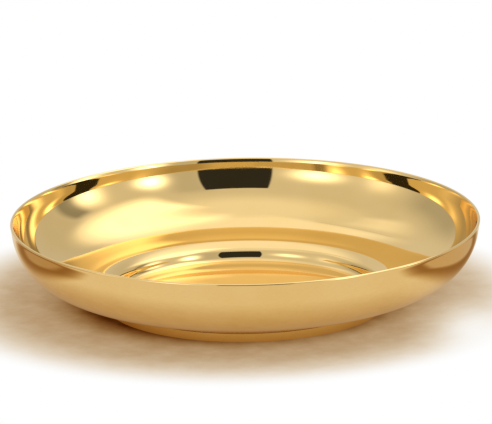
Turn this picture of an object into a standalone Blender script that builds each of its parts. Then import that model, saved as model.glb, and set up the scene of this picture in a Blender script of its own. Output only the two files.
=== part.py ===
"""A wide, shallow footed bowl of polished, gold-plated brass.

The bowl is one spun sheet: a flat well pressed into its centre, a low dished
wall, an upright side, and a lip that opens slightly outwards.  A plain collar
stands round the well as the foot, and a seam of solder joins the two.

Units are metres and +Z is up.  The origin is on the axis that every piece is
turned about, at the height of the foot's resting face.
"""

import math

import bmesh
import bpy

# Driving dimensions
RIM_RADIUS = 0.0950  # outside of the lip
HEIGHT = 0.0348  # table to the top of the lip
SHEET = 0.0012  # thickness of the spun sheet
FLOOR_HEIGHT = 0.0015  # table to the upper face of the well's floor
FLOOR_RADIUS = 0.0527  # the flat part of the well's floor
FOOT_RADIUS = 0.0574  # outside of the collar
FOOT_WALL = 0.0008
FOOT_HEIGHT = 0.0037
FOOT_EDGE = 0.00015  # bevel on the collar's edges
SEAM_WIDTH = 0.0015  # the solder's reach outwards, over the collar's top
SEAM_INSET = 0.0004  # from the collar's inner face to the solder
FIT_GAP = 0.0003  # clearance between pieces that meet

# How the upper face of the sheet bends, from the edge of the well's floor to
# the lip: the length of each stretch and the slope, in degrees, at its end.
# The slope changes evenly along a stretch, so each stretch is an arc.
BENDS = (
    (0.0023, 60.0),  # fillet round the floor
    (0.0014, 76.0),  # side of the well
    (0.0014, 60.0),  # rounding over its top
    (0.0018, 20.0),  # shoulder
    (0.0080, 8.0),  # easing on to the dished wall
    (0.0120, 20.0),  # dished wall
    (0.0085, 36.0),  # turning up
    (0.0180, 81.5),  # round bend into the side
    (0.0033, 83.0),  # upright side
    (0.0010, 68.0),  # lip
)
DEGREES_PER_STEP = 12.0
LONGEST_STEP = 0.0080
LIP_STEPS = 4  # steps round the half circle of the lip's edge
SEGMENTS = 60  # steps round the axis
SHARP_ANGLE = 35.0  # faces that meet at more than this many degrees show an edge
MERGE_DISTANCE = 1e-7  # joins the points that the turning leaves on the axis

# Surface finishes: colour, metallic and roughness
POLISHED_GOLD = ((0.96, 0.71, 0.32, 1.0), 1.0, 0.05)
FOOT_GOLD = ((0.84, 0.58, 0.22, 1.0), 1.0, 0.18)
SOLDER_GOLD = ((0.72, 0.50, 0.20, 1.0), 1.0, 0.30)


def clear_scene():
    for obj in list(bpy.data.objects):
        bpy.data.objects.remove(obj, do_unlink=True)


def finish(name, look):
    """A Principled material of the given colour, metallic value and roughness."""
    colour, metallic, roughness = look
    material = bpy.data.materials.new(name)
    material.use_nodes = True
    shader = material.node_tree.nodes["Principled BSDF"]
    shader.inputs["Base Color"].default_value = colour
    shader.inputs["Metallic"].default_value = metallic
    shader.inputs["Roughness"].default_value = roughness
    return material


def upper_line():
    """(radius, height, slope) along the upper face of the sheet, from the axis to the lip."""
    radius, height, slope = FLOOR_RADIUS, FLOOR_HEIGHT, 0.0
    line = [(0.0, height, slope), (radius, height, slope)]
    for length, end_slope in BENDS:
        turn = math.radians(end_slope) - slope
        steps = max(
            math.ceil(abs(math.degrees(turn)) / DEGREES_PER_STEP),
            math.ceil(length / LONGEST_STEP),
        )
        for _ in range(steps):
            middle = slope + turn / steps / 2
            radius += length / steps * math.cos(middle)
            height += length / steps * math.sin(middle)
            slope += turn / steps
            line.append((radius, height, slope))
    return fitted(line)


def fitted(line):
    """The line with its wall stretched by a hair, so that the lip ends at its exact size."""
    end_radius, end_height, end_slope = line[-1]
    lip = SHEET / 2
    wide = (RIM_RADIUS - lip - lip * math.sin(end_slope) - FLOOR_RADIUS) / (
        end_radius - FLOOR_RADIUS
    )
    tall = (HEIGHT - lip + lip * math.cos(end_slope) - FLOOR_HEIGHT) / (
        end_height - FLOOR_HEIGHT
    )
    return [
        (
            r if r <= FLOOR_RADIUS else FLOOR_RADIUS + (r - FLOOR_RADIUS) * wide,
            FLOOR_HEIGHT + (z - FLOOR_HEIGHT) * tall,
            slope,
        )
        for r, z, slope in line
    ]


def under(line, depth):
    """(radius, height) of the points at a depth below the sheet's upper face."""
    return [(r + depth * math.sin(s), z - depth * math.cos(s)) for r, z, s in line]


def sheet_profile():
    """The closed section of the sheet: along its upper face, round the lip and back."""
    line = upper_line()
    radius, height, slope = line[-1]
    lip = SHEET / 2
    edge = []
    for step in range(1, LIP_STEPS):
        turn = slope + math.pi / 2 - math.pi * step / LIP_STEPS
        edge.append(
            (
                radius + lip * (math.sin(slope) + math.cos(turn)),
                height + lip * (math.sin(turn) - math.cos(slope)),
            )
        )
    upper = [(r, z) for r, z, _ in line]
    return upper + edge + under(line, SHEET)[::-1]


def collar_profile():
    """The closed section of the foot, a plain band with bevelled edges."""
    inner, outer = FOOT_RADIUS - FOOT_WALL, FOOT_RADIUS
    low, high = FOOT_EDGE, FOOT_HEIGHT - FOOT_EDGE
    return [
        (inner, low),
        (inner, high),
        (inner + FOOT_EDGE, FOOT_HEIGHT),
        (outer - FOOT_EDGE, FOOT_HEIGHT),
        (outer, high),
        (outer, low),
        (outer - FOOT_EDGE, 0.0),
        (inner + FOOT_EDGE, 0.0),
    ]


def seam_profile():
    """The closed section of the solder, between the collar's top and the sheet."""
    inner = FOOT_RADIUS - FOOT_WALL + SEAM_INSET
    outer = inner + SEAM_WIDTH
    base = FOOT_HEIGHT + FIT_GAP
    roof = under(upper_line(), SHEET + FIT_GAP)
    top = [point for point in roof if inner < point[0] < outer and point[1] > base]
    start = (inner, height_at(roof, inner))
    end = (outer, height_at(roof, outer))
    return [(FOOT_RADIUS, base), (inner, base), start, *top, end]


def height_at(line, radius):
    """The height of a line of (radius, height) points at a radius."""
    for (r0, z0), (r1, z1) in zip(line, line[1:]):
        if r0 <= radius <= r1:
            return z0 + (z1 - z0) * (radius - r0) / (r1 - r0)
    raise ValueError("radius outside the line")


def turned(name, profile, closed, look):
    """A solid of revolution about Z, from its section of (radius, height) points."""
    bm = bmesh.new()
    verts = [bm.verts.new((r, 0.0, z)) for r, z in profile]
    pairs = list(zip(verts, verts[1:]))
    if closed:
        pairs.append((verts[-1], verts[0]))
    edges = [bm.edges.new(pair) for pair in pairs]
    bmesh.ops.spin(
        bm,
        geom=verts + edges,
        axis=(0.0, 0.0, 1.0),
        cent=(0.0, 0.0, 0.0),
        angle=math.tau,
        steps=SEGMENTS,
        use_merge=True,
    )
    bmesh.ops.remove_doubles(bm, verts=bm.verts, dist=MERGE_DISTANCE)
    bmesh.ops.recalc_face_normals(bm, faces=bm.faces)
    mesh = bpy.data.meshes.new(name)
    bm.to_mesh(mesh)
    bm.free()
    mesh.shade_smooth()
    mesh.set_sharp_from_angle(angle=math.radians(SHARP_ANGLE))
    mesh.materials.append(finish(name, look))
    obj = bpy.data.objects.new(name, mesh)
    bpy.context.scene.collection.objects.link(obj)
    return obj


def main():
    clear_scene()
    turned("bowl_shell", sheet_profile(), False, POLISHED_GOLD)
    turned("foot_ring", collar_profile(), True, FOOT_GOLD)
    turned("braze_seam", seam_profile(), True, SOLDER_GOLD)


main()
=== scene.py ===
"""The looks of a wide, shallow footed bowl of polished, gold-plated brass.

Three fine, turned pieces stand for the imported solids: the spun sheet, the
collar that it stands on and the solder between them.  The gold is a mirror,
so most of its look is the studio round it, which is built here as walls, a
ceiling, a softbox, lamps, a dark opening and the cloth that the bowl is on.
"""

import math

import bpy
from mathutils import Matrix, Vector


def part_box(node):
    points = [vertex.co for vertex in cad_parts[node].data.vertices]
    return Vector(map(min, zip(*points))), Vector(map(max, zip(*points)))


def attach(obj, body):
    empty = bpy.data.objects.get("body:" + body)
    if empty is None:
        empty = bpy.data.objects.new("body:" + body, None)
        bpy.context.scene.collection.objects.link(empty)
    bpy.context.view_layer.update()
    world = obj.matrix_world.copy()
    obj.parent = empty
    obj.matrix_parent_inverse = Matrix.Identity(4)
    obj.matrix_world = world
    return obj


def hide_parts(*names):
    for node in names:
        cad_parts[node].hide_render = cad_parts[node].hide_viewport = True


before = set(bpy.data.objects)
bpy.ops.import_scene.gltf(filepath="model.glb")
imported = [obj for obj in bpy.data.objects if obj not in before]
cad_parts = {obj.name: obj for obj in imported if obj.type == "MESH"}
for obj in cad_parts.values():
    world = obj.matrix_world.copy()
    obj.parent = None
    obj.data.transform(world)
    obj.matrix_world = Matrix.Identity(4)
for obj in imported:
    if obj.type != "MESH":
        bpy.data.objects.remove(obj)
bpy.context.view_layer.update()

BODY = "root"

# The bowl's size in metres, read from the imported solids
SHELL_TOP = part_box("bowl_shell")[1]
FOOT_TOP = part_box("foot_ring")[1]
RIM_RADIUS = SHELL_TOP.x
HEIGHT = SHELL_TOP.z
FOOT_RADIUS = FOOT_TOP.x
FOOT_HEIGHT = FOOT_TOP.z

# The sheet's section, in metres
SHEET = 0.0012  # thickness
FLOOR_HEIGHT = 0.0015
FLOOR_RADIUS = 0.0527
# Length of each stretch of the upper face and the slope, in degrees, at its end
BENDS = (
    (0.0023, 60.0),  # fillet round the floor
    (0.0014, 76.0),  # side of the well
    (0.0014, 60.0),  # rounding over its top
    (0.0018, 20.0),  # shoulder
    (0.0080, 8.0),  # easing on to the dished wall
    (0.0120, 20.0),  # dished wall
    (0.0085, 36.0),  # turning up
    (0.0180, 81.5),  # round bend into the side
    (0.0033, 83.0),  # upright side
    (0.0010, 68.0),  # lip
)
SPIN_BLEND = 0.0010  # length over which the sheet eases from one bend to the next
BLEND_SAMPLES = 9
STEP = 0.0004  # spacing of the points along the wall
FLOOR_STEPS = 8
LIP_STEPS = 12
SEGMENTS = 288  # steps round the axis

# The collar and the solder, in metres
FOOT_WALL = 0.0008
FOOT_ROUND = 0.00015  # rounding of the collar's edges
FOOT_ROUND_STEPS = 4
SEAM_REACH = 0.0011  # how far out the solder meets the sheet
SEAM_STEPS = 10
SEAM_PROUD = 0.00010  # how far the solder's lower edge stands off the collar's face
SEAM_WAVE = 0.00002  # height of the solder's waves
WAVES = ((7, 0.4), (19, 0.0), (43, 1.1))  # how many go round, and where they start

# Each gold: colour, roughness, haze and depth of the polishing marks, in metres
POLISHED_GOLD = ((0.96, 0.725, 0.34), 0.02, 0.025, 0.0000004)
FOOT_GOLD = ((0.95, 0.69, 0.27), 0.08, 0.05, 0.0000008)
SOLDER_GOLD = ((0.62, 0.38, 0.14), 0.30, 0.08, 0.000002)
# Marks on the gold: scale, detail and roughness of the noise
HAIRLINES = (4200.0, 3.0, 0.6)
CLOUDS = (38.0, 3.0, 0.55)
WIPES = (150.0, 4.0, 0.6)
HAIRLINE_STRETCH = 0.002  # hairlines are long round the axis and fine across it
# The noise's value at which each mark starts to show and at which it is full
TINT_LIMITS = (0.35, 0.70)
CLOUD_LIMITS = (0.40, 0.72)
WIPE_LIMITS = (0.45, 0.80)
HAIRLINE_LIMITS = (0.35, 0.75)
CLOUD_TINT = (0.975, 0.955, 0.90)  # what is left of the colour in a cloud
WIPE_HAZE = 0.6  # share of the gold's haze that a wipe mark adds
HAIRLINE_HAZE = 0.5

# Light bounces up to this often between the bowl's own walls
MIRROR_BOUNCES = 12

# The camera, aimed at the middle of the mouth: metres, degrees and millimetres
CAMERA_DISTANCE = 2.375
CAMERA_ELEVATION = 15.69
CAMERA_ROLL = 0.786
LENS = 429.9
SENSOR = 36.0
SHIFT = (0.0019, 0.0133)
CLIP = (0.1, 50.0)

# The cloth is drawn as evenly lit, and the shade on it is drawn too, not cast.
# Its colour is exp(-density * CLOTH_TINT), so shade turns it tan.
CLOTH_SIDE = 12.0  # metres
CLOTH_TINT = (0.42, 0.65, 1.0)
SHADE_MIDDLE = (-0.005, 0.006)  # metres from the axis
SHADE_WIDENING = 0.97  # scale across it, so the shade is a little wider than deep
SHADE_DEPTH = 1.6  # density under the bowl's side
SHADE_EDGE = (0.080, 0.124)  # distance over which it fades out
CONTACT_DEPTH = 5.0  # more, against the foot
CONTACT_FADE = 0.0065  # distance over which it falls to about a third
MOTTLE = 0.5  # unevenness of the shade, from the cloth's folds
FOLDS = (90.0, 5.0, 0.65)  # scale, detail and roughness of their noise
# Light that the bowl's wall throws on the cloth: place, half widths, share of shade lifted
THROWN_LIGHT = (0.090, -0.042, 0.017, 0.036, 0.8)
# What the bowl mirrors of the cloth: creamy all over, less shaded close by
MIRRORED_CREAM = 0.60
MIRRORED_SHARE = 0.45  # share of the shade under the bowl's side
MIRRORED_CONTACT = 2.0  # the foot mirrors the shadow that it stands in
MIRRORED_FADE = 0.013
THREADS = 1400.0  # to a metre
WEAVE = 0.03  # density of the weave, which only the mirror shows
SLUBS = (260.0, 3.0, 0.6)  # scale, detail and roughness of the thick threads' noise
SLUB_SHARE = 6.0  # their weight beside the even weave
# Painted reflections of same-sized bowls out of view on each side, with a painted shadow round
# each, drawn on the cloth where only the mirror shows them: name, place, density of their walls and
# density of the shadow round them
PAINTED_NEIGHBOURS = (
    ("left neighbour", -0.225, 0.0, 1.2, 2.3),
    ("right neighbour", 0.210, 0.010, 0.7, 2.2),
)
NEIGHBOUR_RADIUS = 0.098
NEIGHBOUR_SHADOW = 0.010  # width over which the painted wall darkens into the painted shadow at its foot
NEIGHBOUR_FADE = 0.030  # width over which the shadow fades out

# Everything else in the studio is placed by its direction from the bowl, in degrees:
# azimuth from the camera's side, positive towards +X, and elevation.
SURROUND = 0.70  # brightness where nothing else stands
LIGHT_TINT = (1.0, 0.95, 0.87)  # colour of all the light
# Panels: name, azimuths, elevations, softness of the edges, brightness.  A later
# one stands in front of an earlier one, and a side past 180 runs on round the back.
PANELS = (
    ("ceiling", (-400, 400), (62, 120), 14, 0.92),
    ("back wall, right of the middle", (160, 400), (38, 72), 6, 1.04),
    ("left wall, lit part", (-152, -122), (42, 57), 8, 0.98),
    ("left wall, shaded part", (-145, -95), (-5, 28), 14, 0.45),
    ("back wall, left of the middle", (-400, -158), (38, 72), 6, 1.04),
    ("level fold of the tent", (-156, -70), (58, 60), 2.5, 0.8),
    ("upright fold of the tent", (-158, -156), (40, 60), 1.5, 0.7),
    ("softbox", (60, 166), (42, 72), 10, 1.8),
    ("right wall", (112, 170), (-5, 35), 5, 0.6),
    ("right stand", (97, 111), (-5, 32), 4, 0.3),
    ("frame of the opening", (20, 42), (-5, 44), 8, 0.55),
)
# Lamps: name, azimuth, elevation, half widths of the soft spot, brightness
LAMPS = (
    ("left lamp", -37, 10, 11, 10, 2.2),
    ("far left lamp", -73, 5, 9, 15, 0.6),
    ("right lamp", 49, 12, 7, 11, 3.2),
    ("far right lamp", 87, 10, 8, 14, 1.8),
)
# The dark opening of the tent, like a panel, but in front of the lamps too
OPENING = ((-14, 23.5), (-5, 42), 0.7, 0.03)

# ---------------------------------------------------------------- sections


def raw_slope(along):
    """The slope that BENDS gives at a length along the wall; it runs on past both ends."""
    start, slope = 0.0, 0.0
    for row, (length, degrees) in enumerate(BENDS):
        end_slope = math.radians(degrees)
        if along <= start + length or row == len(BENDS) - 1:
            return slope + (end_slope - slope) * (along - start) / length
        start += length
        slope = end_slope


def blended_slope(along):
    """The slope averaged over SPIN_BLEND, as spinning leaves no sudden change of bend."""
    total = 0.0
    for k in range(BLEND_SAMPLES):
        total += raw_slope(along + SPIN_BLEND * ((k + 0.5) / BLEND_SAMPLES - 0.5))
    return max(total / BLEND_SAMPLES, 0.0)


def sheet_line():
    """(radius, height, slope) along the upper face of the sheet, from the axis to the lip."""
    length = sum(stretch for stretch, _ in BENDS)
    count = math.ceil(length / STEP)
    step = length / count
    radius, height = FLOOR_RADIUS, FLOOR_HEIGHT
    wall = [(radius, height, blended_slope(0.0))]
    for k in range(count):
        middle = blended_slope((k + 0.5) * step)
        radius += step * math.cos(middle)
        height += step * math.sin(middle)
        wall.append((radius, height, blended_slope((k + 1) * step)))
    bottom = [(FLOOR_RADIUS * k / FLOOR_STEPS, FLOOR_HEIGHT, 0.0) for k in range(FLOOR_STEPS)]
    return bottom + fitted(wall)


def fitted(wall):
    """The wall stretched by a hair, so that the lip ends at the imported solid's size."""
    end_radius, end_height, end_slope = wall[-1]
    lip = SHEET / 2
    wide = RIM_RADIUS - lip - lip * math.sin(end_slope) - FLOOR_RADIUS
    wide /= end_radius - FLOOR_RADIUS
    tall = HEIGHT - lip + lip * math.cos(end_slope) - FLOOR_HEIGHT
    tall /= end_height - FLOOR_HEIGHT
    return [
        (
            FLOOR_RADIUS + (r - FLOOR_RADIUS) * wide,
            FLOOR_HEIGHT + (z - FLOOR_HEIGHT) * tall,
            slope,
        )
        for r, z, slope in wall
    ]


def sheet_section(line):
    """Points (radius, height, normal's radius, normal's height) round the sheet's section."""
    section = [(r, z, -math.sin(s), math.cos(s)) for r, z, s in line]
    r, z, s = line[-1]
    lip = SHEET / 2
    middle = (r + lip * math.sin(s), z - lip * math.cos(s))
    for k in range(1, LIP_STEPS):
        turn = s + math.pi / 2 - math.pi * k / LIP_STEPS
        out, up = math.cos(turn), math.sin(turn)
        section.append((middle[0] + lip * out, middle[1] + lip * up, out, up))
    for r, z, s in reversed(line):
        out, up = math.sin(s), -math.cos(s)
        section.append((r + SHEET * out, z + SHEET * up, out, up))
    return section[::-1]


def collar_section():
    """The foot's closed section, a plain band with rounded edges, with its normals."""
    inner, outer = FOOT_RADIUS - FOOT_WALL, FOOT_RADIUS
    corners = (
        (inner, 0.0, math.pi),
        (outer, 0.0, 1.5 * math.pi),
        (outer, FOOT_HEIGHT, 0.0),
        (inner, FOOT_HEIGHT, 0.5 * math.pi),
    )
    section = []
    for r, z, start in corners:
        centre_r = r + FOOT_ROUND if r == inner else r - FOOT_ROUND
        centre_z = z + FOOT_ROUND if z == 0.0 else z - FOOT_ROUND
        for k in range(FOOT_ROUND_STEPS + 1):
            turn = start + 0.5 * math.pi * k / FOOT_ROUND_STEPS
            out, up = math.cos(turn), math.sin(turn)
            section.append((centre_r + FOOT_ROUND * out, centre_z + FOOT_ROUND * up, out, up))
    return section


def under_height(line, radius):
    """The height of the sheet's lower face at a radius."""
    lower = [(r + SHEET * math.sin(s), z - SHEET * math.cos(s)) for r, z, s in line]
    for (r0, z0), (r1, z1) in zip(lower, lower[1:]):
        if r0 <= radius <= r1:
            return z0 + (z1 - z0) * (radius - r0) / (r1 - r0)
    raise ValueError("radius outside the sheet")


def seam_section(line):
    """The solder's closed section: a hollow fillet from the collar's face to the sheet."""
    low = (FOOT_RADIUS + SEAM_PROUD, FOOT_HEIGHT - 2 * FOOT_ROUND)
    corner = (FOOT_RADIUS, under_height(line, FOOT_RADIUS))
    far_radius = FOOT_RADIUS + SEAM_REACH
    far = (far_radius, under_height(line, far_radius))
    back_radius = FOOT_RADIUS - FOOT_WALL / 2
    section = []
    for k in range(SEAM_STEPS + 1):
        t = k / SEAM_STEPS
        weights = ((1 - t) ** 2, 2 * t * (1 - t), t * t)
        ends = zip(low, corner, far)
        section.append(tuple(sum(w * end for w, end in zip(weights, axis)) for axis in ends))
    section.append((back_radius, under_height(line, back_radius)))
    section.append((back_radius, FOOT_HEIGHT))
    return section


# ------------------------------------------------------------------ meshes


def turned(name, section, closed, material, wave=0.0):
    """A piece turned about Z from its section, with the section's normals where it has them."""
    on_axis = section[0][0] == 0.0
    ring = section[1:-1] if on_axis else section
    verts, normals, faces = [], [], []
    for k in range(SEGMENTS):
        angle = math.tau * k / SEGMENTS
        c, s = math.cos(angle), math.sin(angle)
        swell = wave * sum(math.sin(count * angle + start) for count, start in WAVES)
        for r, z, *normal in ring:
            verts.append(((r + swell) * c, (r + swell) * s, z))
            if normal:
                normals.append((normal[0] * c, normal[0] * s, normal[1]))
    count = len(ring)
    last = count if closed else count - 1
    for k in range(SEGMENTS):
        a, b = k * count, (k + 1) % SEGMENTS * count
        for j in range(last):
            i = (j + 1) % count
            faces.append((a + j, b + j, b + i, a + i))
    if on_axis:
        for (_, z, _, up), row, flip in ((section[0], 0, True), (section[-1], count - 1, False)):
            tip = len(verts)
            verts.append((0.0, 0.0, z))
            normals.append((0.0, 0.0, up))
            for k in range(SEGMENTS):
                a, b = k * count + row, (k + 1) % SEGMENTS * count + row
                faces.append((tip, b, a) if flip else (tip, a, b))
    mesh = bpy.data.meshes.new(name)
    mesh.from_pydata(verts, [], faces)
    mesh.validate()
    mesh.shade_smooth()
    if normals:
        mesh.normals_split_custom_set_from_vertices(normals)
    mesh.materials.append(material)
    piece = bpy.data.objects.new(name, mesh)
    bpy.context.scene.collection.objects.link(piece)
    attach(piece, BODY)
    return piece


# ------------------------------------------------------------------- nodes


def connect(tree, value, socket):
    """Sets a socket to a number, or links another socket to it."""
    if isinstance(value, (int, float)):
        socket.default_value = value
    else:
        tree.links.new(value, socket)


def calc(tree, operation, *values):
    """A Math node on numbers or sockets; gives its output."""
    node = tree.nodes.new("ShaderNodeMath")
    node.operation = operation
    for socket, value in zip(node.inputs, values):
        connect(tree, value, socket)
    return node.outputs[0]


def combine(tree, x, y, z):
    """A vector, or a colour, of three numbers or sockets."""
    node = tree.nodes.new("ShaderNodeCombineXYZ")
    for socket, value in zip(node.inputs, (x, y, z)):
        connect(tree, value, socket)
    return node.outputs[0]


def distance(tree, x, y):
    """How far a point is from the origin, on a plane."""
    squares = calc(tree, "ADD", calc(tree, "MULTIPLY", x, x), calc(tree, "MULTIPLY", y, y))
    return calc(tree, "SQRT", squares)


def remap(tree, value, from_low, from_high, to_low, to_high):
    """A smooth Map Range node: from_low..from_high becomes to_low..to_high."""
    node = tree.nodes.new("ShaderNodeMapRange")
    node.interpolation_type = "SMOOTHSTEP"
    tree.links.new(value, node.inputs["Value"])
    for key, number in (
        ("From Min", from_low),
        ("From Max", from_high),
        ("To Min", to_low),
        ("To Max", to_high),
    ):
        node.inputs[key].default_value = number
    return node.outputs["Result"]


def noise(tree, vector, scale, detail, roughness):
    """A Noise node over a vector; its values are mostly near 0.5."""
    node = tree.nodes.new("ShaderNodeTexNoise")
    tree.links.new(vector, node.inputs["Vector"])
    node.inputs["Scale"].default_value = scale
    node.inputs["Detail"].default_value = detail
    node.inputs["Roughness"].default_value = roughness
    return node.outputs["Fac"]


def spot(tree, x, y, middle_x, middle_y, wide, tall):
    """A soft round spot: 1 in its middle, falling off as a bell over its half widths."""
    across = calc(tree, "DIVIDE", calc(tree, "SUBTRACT", x, middle_x), wide)
    up = calc(tree, "DIVIDE", calc(tree, "SUBTRACT", y, middle_y), tall)
    away = calc(tree, "ADD", calc(tree, "MULTIPLY", across, across), calc(tree, "MULTIPLY", up, up))
    return calc(tree, "EXPONENT", calc(tree, "MULTIPLY", away, -1.0))


def fading(tree, value, fade, depth):
    """The depth where a value is 0, fading out as the value goes below it."""
    return calc(tree, "MULTIPLY", calc(tree, "EXPONENT", calc(tree, "DIVIDE", value, fade)), depth)


def object_place(tree):
    """The point on the object, in metres, as a vector and as its X, Y and Z."""
    place = tree.nodes.new("ShaderNodeTexCoord").outputs["Object"]
    split = tree.nodes.new("ShaderNodeSeparateXYZ")
    tree.links.new(place, split.inputs[0])
    return place, *split.outputs


def show(tree, seen, mirrored, output):
    """Shows one shader to the camera, and the other in what the bowl mirrors."""
    to_camera = tree.nodes.new("ShaderNodeLightPath").outputs["Is Camera Ray"]
    mix = tree.nodes.new("ShaderNodeMixShader")
    tree.links.new(to_camera, mix.inputs[0])
    tree.links.new(mirrored, mix.inputs[1])
    tree.links.new(seen, mix.inputs[2])
    tree.links.new(mix.outputs[0], tree.nodes[output].inputs["Surface"])


# -------------------------------------------------------------------- gold


def gold(name, look):
    """Polished gold plate: haze and hairlines that run round the axis, over a mirror."""
    tint, roughness, haze, mark_depth = look
    material = bpy.data.materials.new(name)
    material.use_nodes = True
    tree = material.node_tree
    shader = tree.nodes["Principled BSDF"]
    place, x, y, z = object_place(tree)
    shader.inputs["Metallic"].default_value = 1.0

    across = calc(tree, "ADD", distance(tree, x, y), z)
    angle = calc(tree, "ARCTAN2", y, x)
    drawn_out = combine(tree, across, calc(tree, "MULTIPLY", angle, HAIRLINE_STRETCH), 0.0)
    lines = noise(tree, drawn_out, *HAIRLINES)
    cloud = noise(tree, place, *CLOUDS)
    wipe = noise(tree, place, *WIPES)

    tinting = tree.nodes.new("ShaderNodeMix")
    tinting.data_type = "RGBA"
    clouded_tint = tuple(channel * left for channel, left in zip(tint, CLOUD_TINT))
    tree.links.new(remap(tree, cloud, *TINT_LIMITS, 0.0, 1.0), tinting.inputs["Factor"])
    tinting.inputs[6].default_value = (*tint, 1.0)
    tinting.inputs[7].default_value = (*clouded_tint, 1.0)
    tree.links.new(tinting.outputs[2], shader.inputs["Base Color"])

    clouded = remap(tree, cloud, *CLOUD_LIMITS, roughness, roughness + haze)
    wiped = remap(tree, wipe, *WIPE_LIMITS, 0.0, haze * WIPE_HAZE)
    lined = remap(tree, lines, *HAIRLINE_LIMITS, 0.0, haze * HAIRLINE_HAZE)
    total = calc(tree, "ADD", calc(tree, "ADD", clouded, wiped), lined)
    tree.links.new(total, shader.inputs["Roughness"])

    bump = tree.nodes.new("ShaderNodeBump")
    bump.inputs["Strength"].default_value = 1.0
    bump.inputs["Distance"].default_value = mark_depth
    tree.links.new(lines, bump.inputs["Height"])
    tree.links.new(bump.outputs["Normal"], shader.inputs["Normal"])
    return material


# ------------------------------------------------------------------- cloth


def bowl_shade(tree, place, x, y):
    """The density of the bowl's shade on the cloth, as it is seen and as it is mirrored."""
    off_x = calc(tree, "MULTIPLY", calc(tree, "SUBTRACT", x, SHADE_MIDDLE[0]), SHADE_WIDENING)
    off_y = calc(tree, "SUBTRACT", y, SHADE_MIDDLE[1])
    away = distance(tree, off_x, off_y)
    under = remap(tree, away, *SHADE_EDGE, SHADE_DEPTH, 0.0)
    off_foot = calc(tree, "MINIMUM", calc(tree, "SUBTRACT", FOOT_RADIUS, away), 0.0)
    contact = fading(tree, off_foot, CONTACT_FADE, CONTACT_DEPTH)

    blotches = calc(tree, "SUBTRACT", noise(tree, place, *FOLDS), 0.5)
    mottle = calc(tree, "ADD", calc(tree, "MULTIPLY", blotches, MOTTLE), 1.0)
    *light_place, share = THROWN_LIGHT
    lifted = calc(tree, "MULTIPLY", spot(tree, x, y, *light_place), share)
    patchy = calc(tree, "MULTIPLY", mottle, calc(tree, "SUBTRACT", 1.0, lifted))
    seen = calc(tree, "MULTIPLY", calc(tree, "ADD", under, contact), patchy)

    mirrored = calc(tree, "MULTIPLY", calc(tree, "MULTIPLY", under, patchy), MIRRORED_SHARE)
    mirrored = calc(tree, "ADD", mirrored, MIRRORED_CREAM)
    contact = fading(tree, off_foot, MIRRORED_FADE, MIRRORED_CONTACT)
    return seen, calc(tree, "ADD", mirrored, contact)


def painted_neighbour_shade(tree, x, y, middle_x, middle_y, wall, shadow):
    """The painted density of a neighbouring bowl's reflection on the cloth, and of the painted
    shadow round it.
    """
    apart_x = calc(tree, "SUBTRACT", x, middle_x)
    apart_y = calc(tree, "SUBTRACT", y, middle_y)
    apart = distance(tree, apart_x, apart_y)
    inner = NEIGHBOUR_RADIUS - NEIGHBOUR_SHADOW
    band = remap(tree, apart, inner, NEIGHBOUR_RADIUS, wall, shadow)
    edge = remap(tree, apart, NEIGHBOUR_RADIUS, NEIGHBOUR_RADIUS + NEIGHBOUR_FADE, 1.0, 0.0)
    return calc(tree, "MULTIPLY", band, edge)


def weave(tree, place, x, y):
    """The density of the threads, even ones crossing and thick ones here and there."""
    warp = calc(tree, "SINE", calc(tree, "MULTIPLY", x, THREADS * math.tau))
    weft = calc(tree, "SINE", calc(tree, "MULTIPLY", y, THREADS * math.tau))
    slub = calc(tree, "SUBTRACT", noise(tree, place, *SLUBS), 0.5)
    thick = calc(tree, "MULTIPLY", slub, SLUB_SHARE)
    threads = calc(tree, "ADD", calc(tree, "MULTIPLY", warp, weft), thick)
    return calc(tree, "MULTIPLY", threads, WEAVE)


def glow(tree, density):
    """The cloth's even light, at a density of shade."""
    channels = []
    for tint in CLOTH_TINT:
        channels.append(calc(tree, "EXPONENT", calc(tree, "MULTIPLY", density, -tint)))
    emission = tree.nodes.new("ShaderNodeEmission")
    tree.links.new(combine(tree, *channels), emission.inputs["Color"])
    return emission.outputs[0]


def cloth():
    """White cloth in even light, with the bowl's soft warm shade painted on it, and painted
    reflections of neighbouring bowls that only the mirror shows.
    """
    material = bpy.data.materials.new("studio_cloth")
    material.use_nodes = True
    tree = material.node_tree
    tree.nodes.remove(tree.nodes["Principled BSDF"])
    place, x, y, _ = object_place(tree)
    seen, mirrored = bowl_shade(tree, place, x, y)
    # Painted reflections of neighbouring bowls, and painted shadow round them, in the mirrored
    # colour only
    for _, *neighbour in PAINTED_NEIGHBOURS:
        mirrored = calc(tree, "ADD", mirrored, painted_neighbour_shade(tree, x, y, *neighbour))
    mirrored = calc(tree, "ADD", mirrored, weave(tree, place, x, y))
    show(tree, glow(tree, seen), glow(tree, mirrored), "Material Output")
    return material


def floor():
    """The cloth that the bowl stands on, flat and wider than the view."""
    half = CLOTH_SIDE / 2
    corners = [(-half, -half, 0), (half, -half, 0), (half, half, 0), (-half, half, 0)]
    mesh = bpy.data.meshes.new("studio_floor")
    mesh.from_pydata(corners, [], [(0, 1, 2, 3)])
    mesh.materials.append(cloth())
    sheet = bpy.data.objects.new("studio_floor", mesh)
    bpy.context.scene.collection.objects.link(sheet)


# ------------------------------------------------------------ studio light


def between(tree, value, low, high, soft):
    """1 between two limits and 0 outside them, with soft edges."""
    starts = remap(tree, value, low - soft, low + soft, 0.0, 1.0)
    stops = remap(tree, value, high - soft, high + soft, 1.0, 0.0)
    return calc(tree, "MULTIPLY", starts, stops)


def in_front(tree, light, azimuth, elevation, sides, heights, soft, level):
    """The light with a panel in front of it."""
    across = between(tree, azimuth, *sides, soft)
    up = between(tree, elevation, *heights, soft)
    inside = calc(tree, "MULTIPLY", across, up)
    behind = calc(tree, "MULTIPLY", calc(tree, "SUBTRACT", 1.0, inside), light)
    return calc(tree, "ADD", behind, calc(tree, "MULTIPLY", inside, level))


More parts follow.
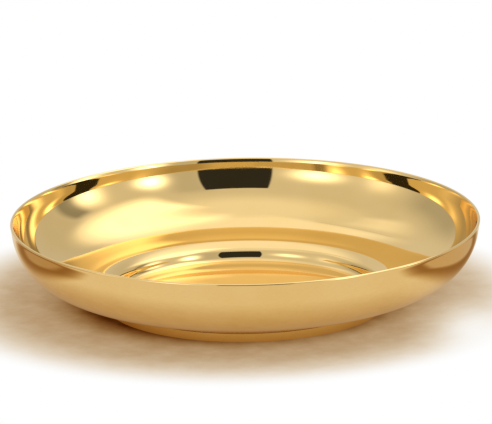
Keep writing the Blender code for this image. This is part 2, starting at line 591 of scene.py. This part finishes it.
def surroundings(tree, azimuth, elevation):
    """The light that comes from a direction."""
    light = SURROUND
    for _, *panel in PANELS:
        light = in_front(tree, light, azimuth, elevation, *panel)
    for _, *place, level in LAMPS:
        lamp = calc(tree, "MULTIPLY", spot(tree, azimuth, elevation, *place), level)
        light = calc(tree, "ADD", light, lamp)
    return in_front(tree, light, azimuth, elevation, *OPENING)


def studio():
    """The world: white behind the bowl, and the studio in what the bowl mirrors."""
    world = bpy.data.worlds.new("studio")
    world.use_nodes = True
    bpy.context.scene.world = world
    tree = world.node_tree
    direction = tree.nodes.new("ShaderNodeTexCoord").outputs["Generated"]
    split = tree.nodes.new("ShaderNodeSeparateXYZ")
    tree.links.new(direction, split.inputs[0])
    x, y, z = split.outputs
    azimuth = calc(tree, "DEGREES", calc(tree, "ARCTAN2", x, calc(tree, "MULTIPLY", y, -1.0)))
    elevation = calc(tree, "DEGREES", calc(tree, "ARCSINE", z))

    light = surroundings(tree, azimuth, elevation)
    tinted = combine(tree, *(calc(tree, "MULTIPLY", light, channel) for channel in LIGHT_TINT))
    around = tree.nodes["Background"]
    tree.links.new(tinted, around.inputs["Color"])
    plain = tree.nodes.new("ShaderNodeBackground")
    plain.inputs["Color"].default_value = (1.0, 1.0, 1.0, 1.0)
    show(tree, plain.outputs[0], around.outputs[0], "World Output")


def camera():
    """A long lens, looking down into the bowl from the front."""
    data = bpy.data.cameras.new("camera")
    data.sensor_width = SENSOR
    data.lens = LENS
    data.shift_x, data.shift_y = SHIFT
    data.clip_start, data.clip_end = CLIP
    view = bpy.data.objects.new("camera", data)
    bpy.context.scene.collection.objects.link(view)
    elevation = math.radians(CAMERA_ELEVATION)
    back = Vector((0.0, -math.cos(elevation), math.sin(elevation)))
    place = Vector((0.0, 0.0, HEIGHT)) + back * CAMERA_DISTANCE
    turn = (-back).to_track_quat("-Z", "Y").to_matrix().to_4x4()
    roll = Matrix.Rotation(-math.radians(CAMERA_ROLL), 4, "Z")
    view.matrix_world = Matrix.Translation(place) @ turn @ roll
    bpy.context.scene.camera = view


def main():
    """The three pieces, the cloth, the studio and the camera."""
    line = sheet_line()
    polished = gold("polished_gold", POLISHED_GOLD)
    foot_gold = gold("foot_gold", FOOT_GOLD)
    solder = gold("solder_gold", SOLDER_GOLD)
    shell = turned("spun_bowl", sheet_section(line), False, polished)
    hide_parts("bowl_shell")
    collar = turned("collar_foot", collar_section(), True, foot_gold)
    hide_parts("foot_ring")
    seam = turned("solder_fillet", seam_section(line), True, solder, SEAM_WAVE)
    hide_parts("braze_seam")
    floor()
    studio()
    camera()
    bpy.context.scene.cycles.glossy_bounces = MIRROR_BOUNCES
    bpy.context.scene.view_settings.view_transform = "Standard"


main()
